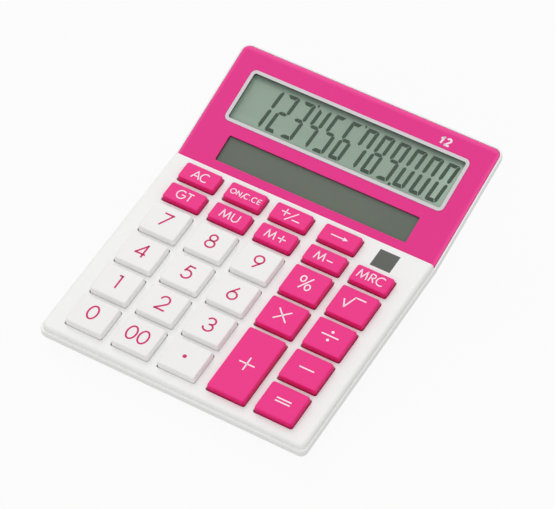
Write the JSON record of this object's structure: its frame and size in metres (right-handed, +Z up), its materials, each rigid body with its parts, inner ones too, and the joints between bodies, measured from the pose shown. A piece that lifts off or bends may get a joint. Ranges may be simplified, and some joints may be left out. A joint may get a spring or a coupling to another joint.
{
  "type": "desk calculator",
  "caption": "Slim desk calculator with a tilted glossy display head, a liquid crystal window over a solar strip, and square push keys on a white case.",
  "frame": {"origin": "middle of the footprint, on the desk surface under the rubber feet", "axes": "+Z up, +Y away from the user from the keypad to the display, +X to the user's right"},
  "size_m": [0.1076, 0.1368, 0.0338],
  "materials": {
    "white_case": "moulded white plastic, fine satin texture",
    "white_key": "moulded white plastic, satin",
    "pink_key": "moulded pink plastic, satin",
    "pink_gloss": "high gloss pink plastic",
    "silver_trim": "pale silver-grey plastic, satin gloss",
    "clear_window": "clear thin window",
    "lcd_grey": "grey-green liquid crystal glass",
    "solar_dark": "dark amorphous solar glass",
    "mat_rubber": "translucent pale silicone",
    "board_green": "green solder mask",
    "chip_black": "black resin",
    "ribbon_amber": "amber flexible film",
    "foot_rubber": "dark soft rubber",
    "steel": "bright nickel plated steel"
  },
  "bodies": {
    "case": {"board_screw_1": "steel", "board_screw_2": "steel", "board_screw_3": "steel", "board_screw_4": "steel", "button_cell": "steel", "case_screw_1": "steel", "case_screw_2": "steel", "case_screw_3": "steel", "case_screw_4": "steel", "case_screw_5": "steel", "case_screw_6": "steel", "chip": "chip_black", "circuit_board": "board_green", "contact_minus": "steel", "contact_plus": "steel", "display_cover": "pink_gloss", "foot_1": "foot_rubber", "foot_2": "foot_rubber", "foot_3": "foot_rubber", "foot_4": "foot_rubber", "keypad_deck": "white_case", "lcd_frame": "silver_trim", "lcd_panel": "lcd_grey", "lcd_ribbon": "ribbon_amber", "lcd_window": "clear_window", "rear_case": "white_case", "rubber_keypad": "mat_rubber", "solar_panel": "solar_dark"},
    "key_0_cap": {"key_0": "white_key"},
    "key_00_cap": {"key_00": "white_key"},
    "key_point_cap": {"key_point": "white_key"},
    "key_plus_cap": {"key_plus": "pink_key"},
    "key_equals_cap": {"key_equals": "pink_key"},
    "key_1_cap": {"key_1": "white_key"},
    "key_2_cap": {"key_2": "white_key"},
    "key_3_cap": {"key_3": "white_key"},
    "key_minus_cap": {"key_minus": "pink_key"},
    "key_4_cap": {"key_4": "white_key"},
    "key_5_cap": {"key_5": "white_key"},
    "key_6_cap": {"key_6": "white_key"},
    "key_multiply_cap": {"key_multiply": "pink_key"},
    "key_divide_cap": {"key_divide": "pink_key"},
    "key_7_cap": {"key_7": "white_key"},
    "key_8_cap": {"key_8": "white_key"},
    "key_9_cap": {"key_9": "white_key"},
    "key_percent_cap": {"key_percent": "pink_key"},
    "key_root_cap": {"key_root": "pink_key"},
    "key_gt_cap": {"key_gt": "pink_key"},
    "key_mu_cap": {"key_mu": "pink_key"},
    "key_m_plus_cap": {"key_m_plus": "pink_key"},
    "key_m_minus_cap": {"key_m_minus": "pink_key"},
    "key_mrc_cap": {"key_mrc": "pink_key"},
    "key_ac_cap": {"key_ac": "pink_key"},
    "key_on_c_ce_cap": {"key_on_c_ce": "pink_key"},
    "key_sign_cap": {"key_sign": "pink_key"},
    "key_arrow_cap": {"key_arrow": "pink_key"},
    "battery_door": {"battery_cover": "white_case"}
  },
  "joints": [
    {"name": "key_0_press", "type": "slide", "parent": "case", "child": "key_0_cap", "axis": [0, 0.1132, -0.9936], "range_m": [0, 0.0012], "stiffness_N_per_m": 300, "springref_m": -0.001, "deforming": ["rubber_keypad"]},
    {"name": "key_00_press", "type": "slide", "parent": "case", "child": "key_00_cap", "axis": [0, 0.1132, -0.9936], "range_m": [0, 0.0012], "stiffness_N_per_m": 300, "springref_m": -0.001, "deforming": ["rubber_keypad"]},
    {"name": "key_point_press", "type": "slide", "parent": "case", "child": "key_point_cap", "axis": [0, 0.1132, -0.9936], "range_m": [0, 0.0012], "stiffness_N_per_m": 300, "springref_m": -0.001, "deforming": ["rubber_keypad"]},
    {"name": "key_plus_press", "type": "slide", "parent": "case", "child": "key_plus_cap", "axis": [0, 0.1132, -0.9936], "range_m": [0, 0.0012], "stiffness_N_per_m": 300, "springref_m": -0.001, "deforming": ["rubber_keypad"]},
    {"name": "key_equals_press", "type": "slide", "parent": "case", "child": "key_equals_cap", "axis": [0, 0.1132, -0.9936], "range_m": [0, 0.0012], "stiffness_N_per_m": 300, "springref_m": -0.001, "deforming": ["rubber_keypad"]},
    {"name": "key_1_press", "type": "slide", "parent": "case", "child": "key_1_cap", "axis": [0, 0.1132, -0.9936], "range_m": [0, 0.0012], "stiffness_N_per_m": 300, "springref_m": -0.001, "deforming": ["rubber_keypad"]},
    {"name": "key_2_press", "type": "slide", "parent": "case", "child": "key_2_cap", "axis": [0, 0.1132, -0.9936], "range_m": [0, 0.0012], "stiffness_N_per_m": 300, "springref_m": -0.001, "deforming": ["rubber_keypad"]},
    {"name": "key_3_press", "type": "slide", "parent": "case", "child": "key_3_cap", "axis": [0, 0.1132, -0.9936], "range_m": [0, 0.0012], "stiffness_N_per_m": 300, "springref_m": -0.001, "deforming": ["rubber_keypad"]},
    {"name": "key_minus_press", "type": "slide", "parent": "case", "child": "key_minus_cap", "axis": [0, 0.1132, -0.9936], "range_m": [0, 0.0012], "stiffness_N_per_m": 300, "springref_m": -0.001, "deforming": ["rubber_keypad"]},
    {"name": "key_4_press", "type": "slide", "parent": "case", "child": "key_4_cap", "axis": [0, 0.1132, -0.9936], "range_m": [0, 0.0012], "stiffness_N_per_m": 300, "springref_m": -0.001, "deforming": ["rubber_keypad"]},
    {"name": "key_5_press", "type": "slide", "parent": "case", "child": "key_5_cap", "axis": [0, 0.1132, -0.9936], "range_m": [0, 0.0012], "stiffness_N_per_m": 300, "springref_m": -0.001, "deforming": ["rubber_keypad"]},
    {"name": "key_6_press", "type": "slide", "parent": "case", "child": "key_6_cap", "axis": [0, 0.1132, -0.9936], "range_m": [0, 0.0012], "stiffness_N_per_m": 300, "springref_m": -0.001, "deforming": ["rubber_keypad"]},
    {"name": "key_multiply_press", "type": "slide", "parent": "case", "child": "key_multiply_cap", "axis": [0, 0.1132, -0.9936], "range_m": [0, 0.0012], "stiffness_N_per_m": 300, "springref_m": -0.001, "deforming": ["rubber_keypad"]},
    {"name": "key_divide_press", "type": "slide", "parent": "case", "child": "key_divide_cap", "axis": [0, 0.1132, -0.9936], "range_m": [0, 0.0012], "stiffness_N_per_m": 300, "springref_m": -0.001, "deforming": ["rubber_keypad"]},
    {"name": "key_7_press", "type": "slide", "parent": "case", "child": "key_7_cap", "axis": [0, 0.1132, -0.9936], "range_m": [0, 0.0012], "stiffness_N_per_m": 300, "springref_m": -0.001, "deforming": ["rubber_keypad"]},
    {"name": "key_8_press", "type": "slide", "parent": "case", "child": "key_8_cap", "axis": [0, 0.1132, -0.9936], "range_m": [0, 0.0012], "stiffness_N_per_m": 300, "springref_m": -0.001, "deforming": ["rubber_keypad"]},
    {"name": "key_9_press", "type": "slide", "parent": "case", "child": "key_9_cap", "axis": [0, 0.1132, -0.9936], "range_m": [0, 0.0012], "stiffness_N_per_m": 300, "springref_m": -0.001, "deforming": ["rubber_keypad"]},
    {"name": "key_percent_press", "type": "slide", "parent": "case", "child": "key_percent_cap", "axis": [0, 0.1132, -0.9936], "range_m": [0, 0.0012], "stiffness_N_per_m": 300, "springref_m": -0.001, "deforming": ["rubber_keypad"]},
    {"name": "key_root_press", "type": "slide", "parent": "case", "child": "key_root_cap", "axis": [0, 0.1132, -0.9936], "range_m": [0, 0.0012], "stiffness_N_per_m": 300, "springref_m": -0.001, "deforming": ["rubber_keypad"]},
    {"name": "key_gt_press", "type": "slide", "parent": "case", "child": "key_gt_cap", "axis": [0, 0.1132, -0.9936], "range_m": [0, 0.0012], "stiffness_N_per_m": 300, "springref_m": -0.001, "deforming": ["rubber_keypad"]},
    {"name": "key_mu_press", "type": "slide", "parent": "case", "child": "key_mu_cap", "axis": [0, 0.1132, -0.9936], "range_m": [0, 0.0012], "stiffness_N_per_m": 300, "springref_m": -0.001, "deforming": ["rubber_keypad"]},
    {"name": "key_m_plus_press", "type": "slide", "parent": "case", "child": "key_m_plus_cap", "axis": [0, 0.1132, -0.9936], "range_m": [0, 0.0012], "stiffness_N_per_m": 300, "springref_m": -0.001, "deforming": ["rubber_keypad"]},
    {"name": "key_m_minus_press", "type": "slide", "parent": "case", "child": "key_m_minus_cap", "axis": [0, 0.1132, -0.9936], "range_m": [0, 0.0012], "stiffness_N_per_m": 300, "springref_m": -0.001, "deforming": ["rubber_keypad"]},
    {"name": "key_mrc_press", "type": "slide", "parent": "case", "child": "key_mrc_cap", "axis": [0, 0.1132, -0.9936], "range_m": [0, 0.0012], "stiffness_N_per_m": 300, "springref_m": -0.001, "deforming": ["rubber_keypad"]},
    {"name": "key_ac_press", "type": "slide", "parent": "case", "child": "key_ac_cap", "axis": [0, 0.1132, -0.9936], "range_m": [0, 0.0012], "stiffness_N_per_m": 300, "springref_m": -0.001, "deforming": ["rubber_keypad"]},
    {"name": "key_on_c_ce_press", "type": "slide", "parent": "case", "child": "key_on_c_ce_cap", "axis": [0, 0.1132, -0.9936], "range_m": [0, 0.0012], "stiffness_N_per_m": 300, "springref_m": -0.001, "deforming": ["rubber_keypad"]},
    {"name": "key_sign_press", "type": "slide", "parent": "case", "child": "key_sign_cap", "axis": [0, 0.1132, -0.9936], "range_m": [0, 0.0012], "stiffness_N_per_m": 300, "springref_m": -0.001, "deforming": ["rubber_keypad"]},
    {"name": "key_arrow_press", "type": "slide", "parent": "case", "child": "key_arrow_cap", "axis": [0, 0.1132, -0.9936], "range_m": [0, 0.0012], "stiffness_N_per_m": 300, "springref_m": -0.001, "deforming": ["rubber_keypad"]},
    {"name": "battery_door_slide", "type": "slide", "parent": "case", "child": "battery_door", "axis": [0, 1, 0], "range_m": [0, 0.02]}
  ]
}
